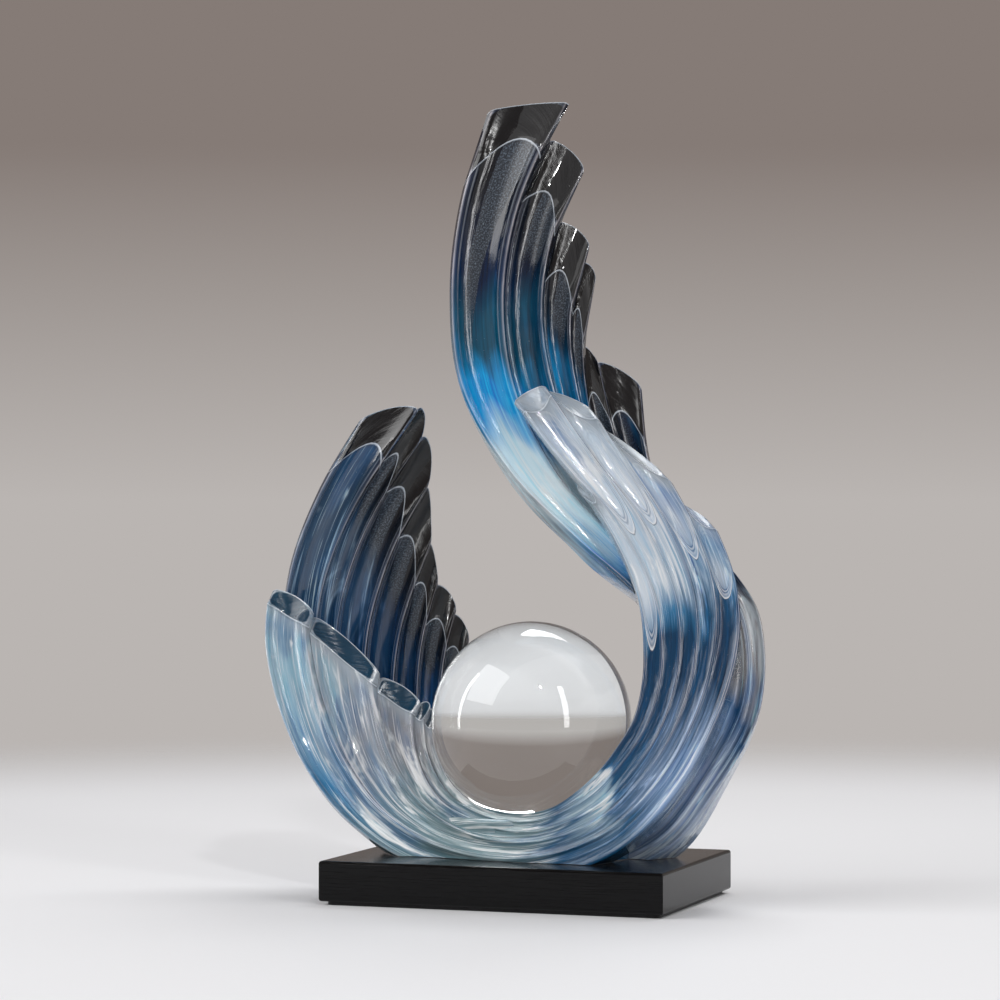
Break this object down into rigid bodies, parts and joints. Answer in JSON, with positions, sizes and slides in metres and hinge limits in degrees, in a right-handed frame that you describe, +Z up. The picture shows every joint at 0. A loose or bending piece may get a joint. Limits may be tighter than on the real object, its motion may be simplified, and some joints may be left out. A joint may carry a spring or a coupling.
{
  "type": "glass sphere ornament",
  "caption": "Table ornament: a loose clear sphere rests in a cradle of fluted feather-shaped resin wings that sweep up from a flat black plinth.",
  "frame": {"origin": "middle of the felt's underside, on the surface that the ornament stands on, under the middle of the plinth", "axes": "+Z up; -Y towards the front, where the sphere shows in front of the tall wing; +X to the right seen from the front"},
  "size_m": [0.2881, 0.132, 0.4394],
  "materials": {
    "lacquer": "black gloss lacquer",
    "front_resin": "clear cast resin with blue dye, polished",
    "back_resin": "clear cast resin with dark blue dye, polished",
    "glass": "polished clear glass",
    "zinc": "zinc plated",
    "felt": "black felt"
  },
  "bodies": {
    "stand": {"plinth": "lacquer", "front_wing": "front_resin", "back_wing": "back_resin", "screw_front_left": "zinc", "screw_front_right": "zinc", "screw_back": "zinc", "base_felt": "felt"},
    "sphere": {"glass_sphere": "glass"}
  },
  "joints": [
    {"name": "sphere_lift", "type": "slide", "parent": "stand", "child": "sphere", "axis": [0, -0.7071, 0.7071], "range_m": [0, 0.2]}
  ]
}
